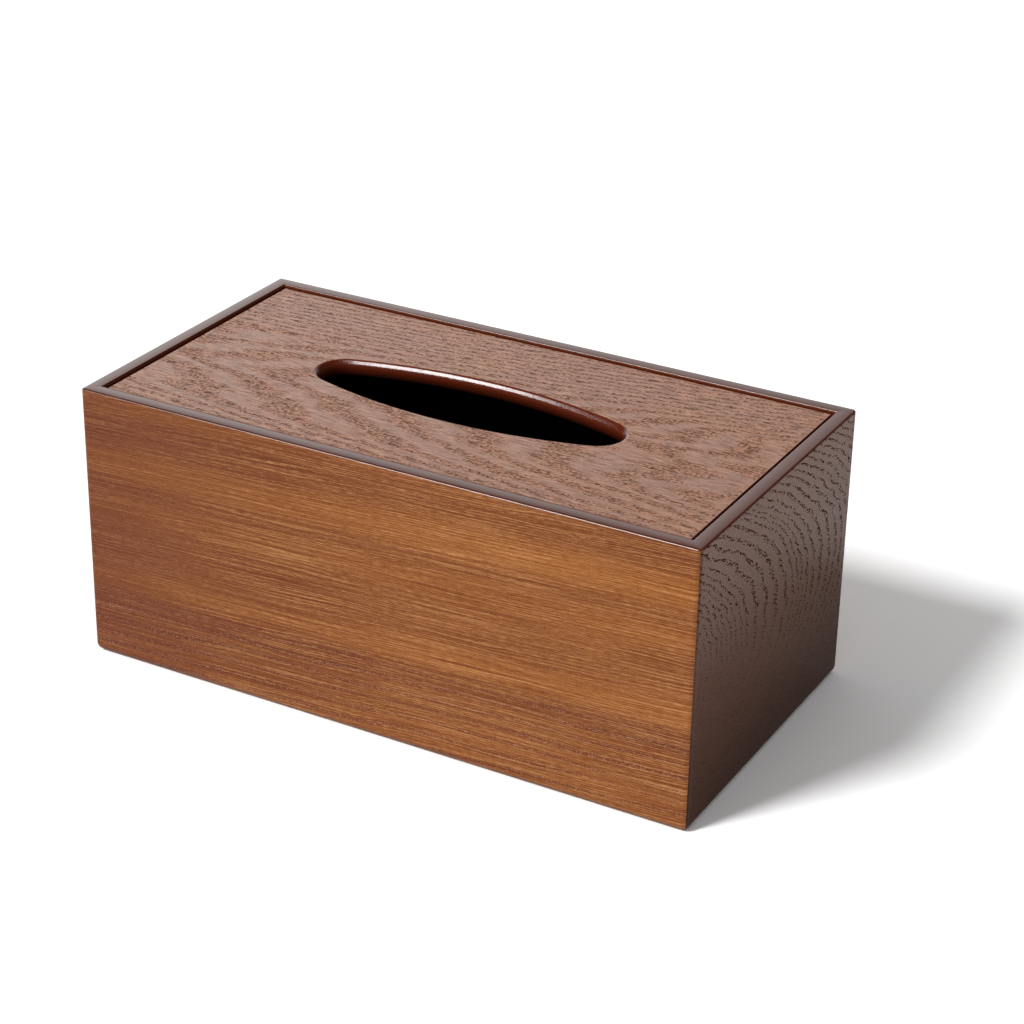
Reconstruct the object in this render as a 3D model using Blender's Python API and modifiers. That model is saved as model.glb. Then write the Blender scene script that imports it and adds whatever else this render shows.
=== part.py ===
"""Tissue box cover: a long wooden case with mitred corners and a loose, slotted lid.

Metres, +Z up. The origin is the middle of the case, on the surface that it stands on.
The length runs along X, and the front faces -Y.
"""

import math

import bmesh
import bpy
from mathutils import Matrix, Vector

# Case: outside size, the thickness of its boards and the rounding of their edges
CASE_LENGTH = 0.260
CASE_DEPTH = 0.136
CASE_HEIGHT = 0.113
BOARD_THICKNESS = 0.006
EDGE_RADIUS = 0.0014
RIM_RADIUS = 0.0010

# Base panel, and the groove in the walls that holds it
BASE_THICKNESS = 0.003
BASE_LIFT = 0.003
GROOVE_DEPTH = 0.003

# Ledges under the lid
LEDGE_THICKNESS = 0.004
LEDGE_HEIGHT = 0.008

# Lid: a loose board, a little below the rim, with play all round
LID_THICKNESS = 0.006
LID_RECESS = 0.0010
LID_PLAY = 0.0014

# Slot, measured where it is narrowest, and the rounding of its upper and lower edge
SLOT_LENGTH = 0.129
SLOT_WIDTH = 0.037
SLOT_NOSE_RADIUS = 0.010
SLOT_LIP_RADIUS = 0.0020
SLOT_UNDER_RADIUS = 0.0006

# Sanded corners, glue lines and working distances
ARRIS = 0.0003
GLUE_GAP = 0.0003
OVERRUN = 0.002
SAME_PLACE = 0.00001

# Facets of the round edges and of the slot
EDGE_STEPS = 4
LIP_STEPS = 4
UNDER_STEPS = 2
ARRIS_STEPS = 1
NOSE_STEPS = 9
SIDE_STEPS = 26
ROUND_PROFILE = 0.5
SHARP_ANGLE = math.radians(35)
FLAT_ANGLE = math.radians(0.2)

# Sizes that follow
INNER_LENGTH = CASE_LENGTH - 2 * BOARD_THICKNESS
INNER_DEPTH = CASE_DEPTH - 2 * BOARD_THICKNESS
LID_TOP = CASE_HEIGHT - LID_RECESS
LEDGE_TOP = LID_TOP - LID_THICKNESS - GLUE_GAP

# Colours of the wood, as linear red, green and blue
SIDE_BROWN = (0.27, 0.095, 0.030)
END_BROWN = (0.115, 0.048, 0.024)
LID_BROWN = (0.19, 0.090, 0.055)
STRIP_BROWN = (0.060, 0.024, 0.012)
BASE_BROWN = (0.085, 0.036, 0.018)


def clear_scene():
    for old in list(bpy.data.objects):
        bpy.data.objects.remove(old, do_unlink=True)


def add_collection(name):
    collection = bpy.data.collections.new(name)
    bpy.context.scene.collection.children.link(collection)
    return collection


def add_material(name, colour, roughness):
    """A lacquered or stained wood of one colour."""
    material = bpy.data.materials.new(name)
    material.use_nodes = True
    shader = material.node_tree.nodes["Principled BSDF"]
    shader.inputs["Base Color"].default_value = (*colour, 1)
    shader.inputs["Roughness"].default_value = roughness
    shader.inputs["Metallic"].default_value = 0
    material.diffuse_color = (*colour, 1)
    return material


def add_empty(name, location, collection):
    empty = bpy.data.objects.new(name, None)
    empty.location = location
    collection.objects.link(empty)
    return empty


def add_part(name, shape, centre, parent, material):
    """Turns a shape around its own centre into a named object there, held by an empty."""
    mesh = bpy.data.meshes.new(name)
    shape.to_mesh(mesh)
    shape.free()
    mesh.shade_smooth()
    mesh.set_sharp_from_angle(angle=SHARP_ANGLE)
    mesh.materials.append(material)
    part = bpy.data.objects.new(name, mesh)
    part.parent = parent
    part.location = Vector(centre) - parent.location
    parent.users_collection[0].objects.link(part)
    return part


def block(size):
    """A box around the origin."""
    shape = bmesh.new()
    bmesh.ops.create_cube(shape, size=1, matrix=Matrix.Diagonal((*size, 1)))
    return shape


def round_edges(shape, edges, radius, steps):
    bmesh.ops.bevel(
        shape,
        geom=edges,
        offset=radius,
        offset_type="OFFSET",
        segments=steps,
        profile=ROUND_PROFILE,
        affect="EDGES",
    )


def at_height(item, height):
    """Whether every corner of a face or an edge lies at this height."""
    return all(abs(corner.co.z - height) < SAME_PLACE for corner in item.verts)


def keep_side(shape, point, normal):
    """Saws the shape along a plane, keeps the side that the normal points to and closes it."""
    bmesh.ops.bisect_plane(
        shape,
        geom=shape.verts[:] + shape.edges[:] + shape.faces[:],
        dist=SAME_PLACE,
        plane_co=point,
        plane_no=normal,
        clear_inner=True,
    )
    sawn = [edge for edge in shape.edges if edge.is_boundary]
    bmesh.ops.holes_fill(shape, edges=sawn, sides=0)


def on_inner_face(edge):
    """Whether the edge runs along the inside of a wall."""
    across = all(abs(abs(corner.co.y) - INNER_DEPTH / 2) < SAME_PLACE for corner in edge.verts)
    along = all(abs(abs(corner.co.x) - INNER_LENGTH / 2) < SAME_PLACE for corner in edge.verts)
    return across or along


def walls_in_one():
    """The four walls as one ring around the origin, before they part at the mitres."""
    ring = block((CASE_LENGTH, CASE_DEPTH, CASE_HEIGHT))
    round_edges(ring, ring.edges[:], EDGE_RADIUS, EDGE_STEPS)
    rim = CASE_HEIGHT / 2

    # The flat top and bottom are inset by a board's thickness, opened and joined up.
    flats = [face for face in ring.faces if at_height(face, rim) or at_height(face, -rim)]
    border = BOARD_THICKNESS - EDGE_RADIUS
    bmesh.ops.inset_individual(ring, faces=flats, thickness=border, use_even_offset=True)
    mouths = [edge for face in flats for edge in face.edges]
    bmesh.ops.delete(ring, geom=flats, context="FACES_ONLY")
    inner = bmesh.ops.bridge_loops(ring, edges=mouths)["faces"]

    # The groove runs round the inner faces, between two heights.
    groove_low = BASE_LIFT - GLUE_GAP - rim
    groove_high = BASE_LIFT + BASE_THICKNESS + GLUE_GAP - rim
    for height in (groove_low, groove_high):
        edges = {edge for face in inner for edge in face.edges}
        corners = {corner for face in inner for corner in face.verts}
        cut = bmesh.ops.bisect_plane(
            ring,
            geom=inner + list(edges) + list(corners),
            dist=SAME_PLACE,
            plane_co=(0, 0, height),
            plane_no=(0, 0, 1),
        )
        inner = [item for item in cut["geom"] if isinstance(item, bmesh.types.BMFace)]
    band = [face for face in inner if groove_low < face.calc_center_median().z < groove_high]
    moved = bmesh.ops.extrude_face_region(ring, geom=band)["geom"]
    bmesh.ops.delete(ring, geom=band, context="FACES")
    for corner in moved:
        if isinstance(corner, bmesh.types.BMVert):
            corner.co.x += math.copysign(GROOVE_DEPTH, corner.co.x)
            corner.co.y += math.copysign(GROOVE_DEPTH, corner.co.y)

    # The inner edge of the rim is rounded a little less than the outer one.
    inner_rim = [edge for edge in ring.edges if at_height(edge, rim) and on_inner_face(edge)]
    round_edges(ring, inner_rim, RIM_RADIUS, EDGE_STEPS)
    bmesh.ops.recalc_face_normals(ring, faces=ring.faces[:])
    return ring


def add_wall(name, ring, outward, material, parent):
    """One wall of the ring: the stretch between its two mitres."""
    half = Vector((CASE_LENGTH / 2, CASE_DEPTH / 2, 0))
    sideways = Vector((-outward.y, outward.x, 0))
    outer_face = outward * abs(outward.dot(half))
    inner_side = outer_face - outward * (BOARD_THICKNESS + OVERRUN)
    wall = ring.copy()
    keep_side(wall, inner_side, outward)
    for end in (-1, 1):
        corner = outer_face + sideways * end * abs(sideways.dot(half))
        into_wall = (outward - sideways * end).normalized()
        keep_side(wall, corner + into_wall * GLUE_GAP / 2, into_wall)
    middle = outer_face - outward * BOARD_THICKNESS / 2
    bmesh.ops.translate(wall, vec=-middle, verts=wall.verts[:])
    centre = middle + Vector((0, 0, CASE_HEIGHT / 2))
    return add_part(name, wall, centre, parent, material)


def add_ledge(name, outward, length, material, parent):
    """A strip glued along the inside of one wall, with its top under the lid."""
    inner_face = Vector((INNER_LENGTH / 2, INNER_DEPTH / 2, 0))
    sideways = Vector((abs(outward.y), abs(outward.x), 0))
    across = Vector((abs(outward.x), abs(outward.y), 0))
    size = sideways * length + across * LEDGE_THICKNESS + Vector((0, 0, LEDGE_HEIGHT))
    ledge = block(size)
    round_edges(ledge, ledge.edges[:], ARRIS, ARRIS_STEPS)
    reach = abs(outward.dot(inner_face)) - GLUE_GAP - LEDGE_THICKNESS / 2
    centre = outward * reach + Vector((0, 0, LEDGE_TOP - LEDGE_HEIGHT / 2))
    return add_part(name, ledge, centre, parent, material)


def add_base(material, parent):
    """A panel whose four edges sit in the groove of the walls."""
    hold = 2 * (GROOVE_DEPTH - GLUE_GAP)
    base = block((INNER_LENGTH + hold, INNER_DEPTH + hold, BASE_THICKNESS))
    round_edges(base, base.edges[:], ARRIS, ARRIS_STEPS)
    centre = (0, 0, BASE_LIFT + BASE_THICKNESS / 2)
    return add_part("base_panel", base, centre, parent, material)


def slot_front():
    """The front half of the slot's outline, from its right tip to its left one.

    A long shallow arc is joined at each end by a small round nose that it touches smoothly.
    """
    nose_centre = SLOT_LENGTH / 2 - SLOT_NOSE_RADIUS
    rise = SLOT_WIDTH / 2
    reach = nose_centre**2 + rise**2 - SLOT_NOSE_RADIUS**2
    side_radius = reach / (2 * (rise - SLOT_NOSE_RADIUS))
    side_centre = side_radius - rise
    meeting = math.atan2(nose_centre, side_centre)
    outline = []
    for step in range(NOSE_STEPS):
        turn = math.pi / 2 - (math.pi / 2 - meeting) * step / NOSE_STEPS
        x = nose_centre + SLOT_NOSE_RADIUS * math.sin(turn)
        outline.append((x, -SLOT_NOSE_RADIUS * math.cos(turn)))
    for step in range(SIDE_STEPS // 2):
        turn = meeting * (1 - 2 * step / SIDE_STEPS)
        outline.append((side_radius * math.sin(turn), side_centre - side_radius * math.cos(turn)))
    return outline + [(0, -rise)] + [(-x, y) for x, y in reversed(outline)]


def flat_shape(outline, thickness):
    """A flat outline made solid, around the middle of its thickness."""
    curve = bpy.data.curves.new("outline", "CURVE")
    curve.dimensions = "2D"
    curve.fill_mode = "BOTH"
    curve.extrude = thickness / 2
    spline = curve.splines.new("POLY")
    spline.points.add(len(outline) - 1)
    for point, (x, y) in zip(spline.points, outline):
        point.co = (x, y, 0, 1)
    spline.use_cyclic_u = True
    drawn = bpy.data.objects.new("outline", curve)
    bpy.context.scene.collection.objects.link(drawn)
    graph = bpy.context.evaluated_depsgraph_get()
    mesh = bpy.data.meshes.new_from_object(drawn.evaluated_get(graph))
    shape = bmesh.new()
    shape.from_mesh(mesh)
    bpy.data.objects.remove(drawn, do_unlink=True)
    bpy.data.curves.remove(curve)
    bpy.data.meshes.remove(mesh)
    bmesh.ops.remove_doubles(shape, verts=shape.verts[:], dist=SAME_PLACE)
    bmesh.ops.dissolve_limit(
        shape, angle_limit=FLAT_ANGLE, verts=shape.verts[:], edges=shape.edges[:]
    )
    return shape


def along_slot(edge):
    """Whether the edge belongs to the slot, and not to the outside of the lid."""
    reach = SLOT_LENGTH / 2 + SAME_PLACE
    side = SLOT_WIDTH / 2 + SAME_PLACE
    return all(abs(corner.co.x) < reach and abs(corner.co.y) < side for corner in edge.verts)


def add_lid(material, parent):
    """The front half of the board, with half of the slot, mirrored to the back."""
    length = INNER_LENGTH - 2 * LID_PLAY
    depth = INNER_DEPTH - 2 * LID_PLAY
    front = [(-length / 2, 0), (-length / 2, -depth / 2), (length / 2, -depth / 2), (length / 2, 0)]
    lid = flat_shape(front + slot_front(), LID_THICKNESS)
    on_mirror = [
        face for face in lid.faces if all(abs(corner.co.y) < SAME_PLACE for corner in face.verts)
    ]
    bmesh.ops.delete(lid, geom=on_mirror, context="FACES_ONLY")

    top = LID_THICKNESS / 2
    closed = [edge for edge in lid.edges if not edge.is_boundary]
    lip = [edge for edge in closed if along_slot(edge) and at_height(edge, top)]
    under = [edge for edge in closed if along_slot(edge) and at_height(edge, -top)]
    outside = [edge for edge in closed if not along_slot(edge)]
    round_edges(lid, lip, SLOT_LIP_RADIUS, LIP_STEPS)
    round_edges(lid, under, SLOT_UNDER_RADIUS, UNDER_STEPS)
    round_edges(lid, outside, ARRIS, ARRIS_STEPS)
    bmesh.ops.recalc_face_normals(lid, faces=lid.faces[:])

    centre = (0, 0, LID_TOP - LID_THICKNESS / 2)
    board = add_part("lid", lid, centre, parent, material)
    mirror = board.modifiers.new("other half", "MIRROR")
    mirror.use_axis = (False, True, False)
    mirror.merge_threshold = SAME_PLACE
    return board


def main():
    clear_scene()
    collection = add_collection("tissue_box_cover")
    side_veneer = add_material("side veneer", SIDE_BROWN, 0.35)
    end_veneer = add_material("end veneer", END_BROWN, 0.35)
    lid_veneer = add_material("lid veneer", LID_BROWN, 0.45)
    strip_wood = add_material("ledge wood", STRIP_BROWN, 0.6)
    base_board = add_material("base board", BASE_BROWN, 0.6)

    case = add_empty("case", (0, 0, 0), collection)
    ring = walls_in_one()
    front = Vector((0, -1, 0))
    back = Vector((0, 1, 0))
    left = Vector((-1, 0, 0))
    right = Vector((1, 0, 0))
    add_wall("front_wall", ring, front, side_veneer, case)
    add_wall("back_wall", ring, back, side_veneer, case)
    add_wall("left_end_wall", ring, left, end_veneer, case)
    add_wall("right_end_wall", ring, right, end_veneer, case)
    ring.free()
    add_base(base_board, case)

    # The long ledges run the whole inside length, and the short ones fit between them.
    long_strip = INNER_LENGTH - 2 * GLUE_GAP
    short_strip = INNER_DEPTH - 2 * (LEDGE_THICKNESS + 2 * GLUE_GAP)
    add_ledge("front_ledge", front, long_strip, strip_wood, case)
    add_ledge("back_ledge", back, long_strip, strip_wood, case)
    add_ledge("left_ledge", left, short_strip, strip_wood, case)
    add_ledge("right_ledge", right, short_strip, strip_wood, case)

    # The lid hangs on its own empty, on the line along which it lifts out.
    lid_lift = add_empty("lid_lift", (0, 0, LEDGE_TOP + GLUE_GAP), collection)
    add_lid(lid_veneer, lid_lift)


main()
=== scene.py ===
# %% [markdown]
# # A wooden case for facial tissues
#
# The real object is a long case of four thin boards, mitred at the corners, with a loose lid
# that drops in between them. The lid has a boat-shaped slot, through which the tissues come.
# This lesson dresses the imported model: boards with rounded edges that close at the mitres,
# a lid with a softened slot, and three stained veneers with their own grain.

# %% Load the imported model
import math

import bmesh
import bpy
from mathutils import Matrix, Vector


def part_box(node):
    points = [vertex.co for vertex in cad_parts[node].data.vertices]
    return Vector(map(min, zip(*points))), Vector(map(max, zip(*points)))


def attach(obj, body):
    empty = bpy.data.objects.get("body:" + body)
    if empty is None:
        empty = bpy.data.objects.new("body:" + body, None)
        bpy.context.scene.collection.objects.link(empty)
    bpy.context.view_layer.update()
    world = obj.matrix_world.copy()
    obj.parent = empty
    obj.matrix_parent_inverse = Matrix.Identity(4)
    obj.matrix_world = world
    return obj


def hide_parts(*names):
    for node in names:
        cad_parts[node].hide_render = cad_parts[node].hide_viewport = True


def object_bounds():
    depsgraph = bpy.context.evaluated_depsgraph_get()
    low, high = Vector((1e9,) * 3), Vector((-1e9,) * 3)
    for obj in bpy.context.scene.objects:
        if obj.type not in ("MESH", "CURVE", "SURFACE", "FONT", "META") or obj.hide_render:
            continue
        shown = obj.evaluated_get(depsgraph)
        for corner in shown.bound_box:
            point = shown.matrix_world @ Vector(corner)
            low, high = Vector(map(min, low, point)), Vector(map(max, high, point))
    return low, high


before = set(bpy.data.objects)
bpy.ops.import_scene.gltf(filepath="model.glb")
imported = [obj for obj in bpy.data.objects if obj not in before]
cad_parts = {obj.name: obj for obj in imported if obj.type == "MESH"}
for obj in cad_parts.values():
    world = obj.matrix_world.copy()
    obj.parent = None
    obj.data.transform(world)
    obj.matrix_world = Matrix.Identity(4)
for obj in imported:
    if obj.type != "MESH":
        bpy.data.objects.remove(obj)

cad_low, cad_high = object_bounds()
print("case, in mm:", [round(1000 * side, 1) for side in cad_high - cad_low])

# %% [markdown]
# ## Camera
#
# The camera stands a little more than a metre away, above the front right corner, and looks
# down at the case with a long lens, as for a shop picture. It could be aimed at the case by
# hand, but its place and its turn were worked out from the visible edges of the case, so it
# is simplest to write them down as an azimuth, an elevation and a small roll.

# %% Camera
IMAGE_PIXELS = 1024
SENSOR_WIDTH = 36.0
CAMERA_PLACE = Vector((0.44869, -0.78191, 0.51125))
CAMERA_AZIMUTH = math.radians(28.735)
CAMERA_ELEVATION = math.radians(26.307)
CAMERA_ROLL = math.radians(1.086)
FOCAL_PIXELS = 2611.9

camera_data = bpy.data.cameras.new("camera")
camera_data.sensor_width = SENSOR_WIDTH
camera_data.lens = FOCAL_PIXELS * SENSOR_WIDTH / IMAGE_PIXELS
camera = bpy.data.objects.new("camera", camera_data)
bpy.context.scene.collection.objects.link(camera)
tilt = Matrix.Rotation(math.pi / 2 - CAMERA_ELEVATION, 4, "X")
turn = Matrix.Rotation(CAMERA_AZIMUTH, 4, "Z") @ tilt
roll = Matrix.Rotation(CAMERA_ROLL, 4, "Z")
camera.matrix_world = Matrix.Translation(CAMERA_PLACE) @ turn @ roll
bpy.context.scene.camera = camera
bpy.context.scene.view_settings.view_transform = "Standard"
print("lens, in mm:", round(camera_data.lens, 1))

# %% [markdown]
# ## Helpers for modelling
#
# Every piece below is modelled as by hand: a primitive, then operators in edit mode. The
# operators act on what is selected, so a helper first deselects all, and another one picks
# corners, edges or faces by their place or direction. Two places count as the same when they
# are less than a fiftieth of a millimetre apart.

# %% Helpers for modelling
SAME_PLACE = 0.00002
SMOOTH_ANGLE = math.radians(35)


def deselect_all():
    bpy.ops.object.select_all(action="DESELECT")


def make_active(piece):
    deselect_all()
    piece.select_set(True)
    bpy.context.view_layer.objects.active = piece


def add_block(name, low, high):
    """A cube primitive that fills the space between two corners."""
    deselect_all()
    low, high = Vector(low), Vector(high)
    bpy.ops.mesh.primitive_cube_add(size=1, location=(low + high) / 2, scale=high - low)
    piece = bpy.context.object
    piece.name = piece.data.name = name
    bpy.ops.object.transform_apply(location=True, rotation=True, scale=True)
    return piece


def edit(piece):
    make_active(piece)
    bpy.ops.object.mode_set(mode="EDIT")


def stop_editing():
    bpy.ops.object.mode_set(mode="OBJECT")


def pick(kind, test):
    """Selects the corners, edges or faces of the edited piece that pass the test."""
    bpy.ops.mesh.select_mode(type=kind)
    bpy.ops.mesh.select_all(action="DESELECT")
    mesh = bpy.context.object.data
    shape = bmesh.from_edit_mesh(mesh)
    items = {"VERT": shape.verts, "EDGE": shape.edges, "FACE": shape.faces}[kind]
    chosen = [item for item in items if test(item)]
    for item in chosen:
        item.select_set(True)
    bmesh.update_edit_mesh(mesh)
    return len(chosen)


def middle(item):
    """The middle of a face or an edge."""
    return sum((corner.co for corner in item.verts), Vector()) / len(item.verts)


def turn_outwards():
    """Makes all faces of the edited piece look outwards."""
    bpy.ops.mesh.select_all(action="SELECT")
    bpy.ops.mesh.normals_make_consistent(inside=False)


def saw(point, normal):
    """Saws the edited piece, keeps the side that the normal points to and closes it."""
    bpy.ops.mesh.select_mode(type="VERT")
    bpy.ops.mesh.select_all(action="SELECT")
    bpy.ops.mesh.bisect(plane_co=point, plane_no=normal, use_fill=True, clear_inner=True)


def apply_modifier(piece, kind, **settings):
    make_active(piece)
    modifier = piece.modifiers.new(kind, kind)
    for setting, value in settings.items():
        setattr(modifier, setting, value)
    bpy.ops.object.modifier_apply(modifier=modifier.name)


def smooth_over(piece):
    """Smooth shading on the round edges, with the flat faces kept flat."""
    make_active(piece)
    bpy.ops.object.shade_smooth_by_angle(angle=SMOOTH_ANGLE)
    apply_modifier(piece, "WEIGHTED_NORMAL", keep_sharp=True, weight=50)


# %% [markdown]
# ## The four boards as one ring
#
# The boards are mitred, so their edges and their inner faces run on from one board to the
# next. Each could be modelled by itself, but it is simpler to shape them as one ring and to
# saw it at the corners afterwards.
#
# On the real case the top edges are barely rounded, the upright ones a little more, and the
# lower ones most. One Bevel modifier can do all three, when each edge carries its own bevel
# weight.

# %% Rounded block
TOP_RADIUS = 0.0010
UPRIGHT_RADIUS = 0.0020
FOOT_RADIUS = 0.0030
EDGE_STEPS = 6
CROWN = 0.00014

front_low, front_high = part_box("front_wall")
ledge_low, ledge_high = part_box("front_ledge")
base_low, base_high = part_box("base_panel")
thickness = front_high.y - front_low.y
shoulder = cad_high.z - CROWN
print("board thickness, in mm:", round(1000 * thickness, 2))


def edge_radius(edge):
    """How round an edge of the block gets: finest round the rim, widest at the foot."""
    height = middle(edge).z
    if abs(height - cad_low.z) < SAME_PLACE:
        return FOOT_RADIUS
    return TOP_RADIUS if abs(height - shoulder) < SAME_PLACE else UPRIGHT_RADIUS


ring = add_block("boards", cad_low, (cad_high.x, cad_high.y, shoulder))
edit(ring)
shape = bmesh.from_edit_mesh(ring.data)
share = shape.edges.layers.float.new("bevel_weight_edge")
for edge in shape.edges:
    edge[share] = edge_radius(edge) / FOOT_RADIUS
stop_editing()
apply_modifier(ring, "BEVEL", width=FOOT_RADIUS, segments=EDGE_STEPS, limit_method="WEIGHT")
print("faces of the rounded block:", len(ring.data.polygons))

# %% [markdown]
# ## Hollowing the ring
#
# The block becomes a ring when its top and its bottom are inset by a board's thickness, and
# what is left in the middle is deleted and bridged. A Boolean could hollow it too, but would
# leave no loops to work on. The top is inset in two steps, for an extra loop along the middle
# of the rim. It is lifted by a hair, because lacquer always stands a little crowned on a
# narrow edge, and that is what makes the light run along it.

# %% Hollow ring with a crowned rim
NEARLY_LEVEL = 0.999
LARGE_FACE = 0.01

crest = Vector((cad_high.x - thickness / 2, cad_high.y - thickness / 2, 0))


def on_loop(place, size, height):
    """Whether a place is on the outline of a rectangle of this half size at this height."""
    along_y = abs(abs(place.y) - size.y) < SAME_PLACE and abs(place.x) < size.x + SAME_PLACE
    along_x = abs(abs(place.x) - size.x) < SAME_PLACE and abs(place.y) < size.y + SAME_PLACE
    return abs(place.z - height) < SAME_PLACE and (along_x or along_y)


def is_large_end(face, direction):
    return face.normal.z * direction > NEARLY_LEVEL and face.calc_area() > LARGE_FACE


edit(ring)
top_insets = (thickness / 2 - TOP_RADIUS, thickness / 2)
foot_insets = (thickness - FOOT_RADIUS,)
for direction, insets in ((1, top_insets), (-1, foot_insets)):
    pick("FACE", lambda face: is_large_end(face, direction))
    for width in insets:
        bpy.ops.mesh.inset(thickness=width, use_individual=True, use_even_offset=True)
    bpy.ops.mesh.delete(type="FACE")
pick("EDGE", lambda edge: edge.is_boundary)
bpy.ops.mesh.bridge_edge_loops()
count = pick("VERT", lambda corner: on_loop(corner.co, crest, shoulder))
bpy.ops.transform.translate(value=(0, 0, CROWN))
print("corners on the crest:", count)

# %% [markdown]
# ## Groove and inner edge
#
# The base panel sits in a groove that is milled round the inside of all four boards. Here the
# inner faces are cut level with the panel's two faces, and the band between the cuts is
# pushed outwards. The inner edge of the rim was only broken with sandpaper, so it gets a much
# finer bevel than the outer one.

# %% Groove and inner edge of the rim
RIM_RADIUS = 0.00045
RIM_STEPS = 3
GROOVE_PLAY = 0.0003

inner = Vector((cad_high.x - thickness, cad_high.y - thickness, 0))


def faces_inwards(face):
    """Whether a face looks into the case."""
    spot = middle(face)
    beside_y = abs(abs(spot.y) - inner.y) < SAME_PLACE and face.normal.y * spot.y < 0
    beside_x = abs(abs(spot.x) - inner.x) < SAME_PLACE and face.normal.x * spot.x < 0
    return beside_x or beside_y


for height in (base_low.z - GROOVE_PLAY, base_high.z + GROOVE_PLAY, ledge_low.z):
    pick("FACE", faces_inwards)
    bpy.ops.mesh.bisect(plane_co=(0, 0, height), plane_no=(0, 0, 1))
pick("FACE", lambda face: faces_inwards(face) and base_low.z < middle(face).z < base_high.z)
groove_depth = base_high.y - inner.y + GROOVE_PLAY
bpy.ops.mesh.extrude_region_shrink_fatten(
    TRANSFORM_OT_shrink_fatten={"value": -groove_depth, "use_even_offset": True}
)
turn_outwards()

count = pick("EDGE", lambda edge: all(on_loop(end.co, inner, shoulder) for end in edge.verts))
bpy.ops.mesh.bevel(offset=RIM_RADIUS, segments=RIM_STEPS, affect="EDGES")
stop_editing()
print("edges of the inner rim:", count, "ring faces:", len(ring.data.polygons))

# %% [markdown]
# ## Sawing the ring at the mitres
#
# Each board is a copy of the ring, with its own mesh, sawn three times: once through the
# middle of the case and once along the 45 degree plane at either end. On the real case the
# mitres are glued and lacquered over, so the boards meet without a gap.

# %% Four boards
SIDES = {
    "front": Vector((0, -1, 0)),
    "back": Vector((0, 1, 0)),
    "left_end": Vector((-1, 0, 0)),
    "right_end": Vector((1, 0, 0)),
}
half_size = Vector((cad_high.x, cad_high.y, 0))
boards = {}
for side, outward in SIDES.items():
    make_active(ring)
    bpy.ops.object.duplicate()
    board = bpy.context.object
    board.name = board.data.name = side + "_board"
    edit(board)
    outer = outward * abs(outward.dot(half_size))
    sideways = Vector((-outward.y, outward.x, 0))
    saw(outer - outward * 2 * thickness, outward)
    for end in (-1, 1):
        corner = outer + sideways * end * abs(sideways.dot(half_size))
        saw(corner, (outward - sideways * end).normalized())
    stop_editing()
    boards[side] = board
    print(board.name, "faces:", len(board.data.polygons))
bpy.data.objects.remove(ring, do_unlink=True)

# %% [markdown]
# ## The slot
#
# The slot is boat-shaped: two long shallow arcs, joined at each end by a small round nose
# that both touch smoothly. A scaled circle wouldn't have that shape, so one corner is spun
# round four centres to draw it. Filled and extruded, it becomes a cutter for a Boolean.

# %% Arcs of the slot
SLOT_LENGTH = 0.129
SLOT_WIDTH = 0.037
SLOT_NOSE_RADIUS = 0.010
SIDE_STEPS = 48
NOSE_STEPS = 17

nose_centre = SLOT_LENGTH / 2 - SLOT_NOSE_RADIUS
rise = SLOT_WIDTH / 2
squares = nose_centre**2 + rise**2 - SLOT_NOSE_RADIUS**2
side_radius = squares / (2 * (rise - SLOT_NOSE_RADIUS))
side_centre = side_radius - rise
side_angle = 2 * math.atan2(nose_centre, side_centre)
touching = Vector((math.sin(side_angle / 2), math.cos(side_angle / 2)))
start = Vector((nose_centre, 0)) + SLOT_NOSE_RADIUS * touching
spins = (
    ((0, -side_centre), side_angle, SIDE_STEPS),
    ((-nose_centre, 0), math.pi - side_angle, NOSE_STEPS),
    ((0, side_centre), side_angle, SIDE_STEPS),
    ((nose_centre, 0), math.pi - side_angle, NOSE_STEPS),
)
print("radius of the long arcs, in mm:", round(1000 * side_radius, 1))

# %% Slot cutter
CUTTER_HEIGHT = 0.02

lid_low, lid_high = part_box("lid")
deselect_all()
bpy.ops.mesh.primitive_plane_add(size=1)
cutter = bpy.context.object
cutter.name = "slot cutter"
edit(cutter)
bpy.ops.mesh.select_all(action="SELECT")
bpy.ops.mesh.merge(type="CENTER")
bpy.ops.transform.translate(value=(start.x, start.y, lid_low.z - CUTTER_HEIGHT / 2))
for centre, angle, steps in spins:
    bpy.ops.mesh.spin(steps=steps, angle=-angle, center=(*centre, 0), axis=(0, 0, 1))
bpy.ops.mesh.select_all(action="SELECT")
bpy.ops.mesh.remove_doubles(threshold=SAME_PLACE)
bpy.ops.mesh.edge_face_add()
bpy.ops.mesh.extrude_region_move(TRANSFORM_OT_translate={"value": (0, 0, CUTTER_HEIGHT)})
turn_outwards()
stop_editing()
print("slot, in mm:", [round(1000 * side, 2) for side in cutter.dimensions])

# %% [markdown]
# ## The lid and the lip of its slot
#
# The lip of the real slot is softened as with a router and sandpaper. One bevel would give a
# plain quarter round, so a shallow chamfer comes first, and its two edges are then rounded,
# the lower one more than the upper. Only the front half of the lid is modelled, and it is
# mirrored last, which keeps the lip free of stray edges.

# %% Half a lid with the slot cut out
lid = add_block("lid_board", lid_low, (lid_high.x, 0, lid_high.z))
apply_modifier(lid, "BOOLEAN", object=cutter, operation="DIFFERENCE", solver="EXACT")
bpy.data.objects.remove(cutter, do_unlink=True)
print("faces of half the lid:", len(lid.data.polygons))


# %% Helpers for the lid's edges
def bevel_lid(test, offset, segments):
    """Bevels the lid's edges that pass the test, but for those on the mirror plane."""
    count = pick("EDGE", lambda edge: not edge.is_boundary and test(edge))
    bpy.ops.mesh.bevel(offset=offset, segments=segments, affect="EDGES")
    print("bevelled edges:", count)


def near_slot(corner, reach):
    return abs(corner.co.x) < SLOT_LENGTH / 2 + reach and corner.co.y > -rise - reach


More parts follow.
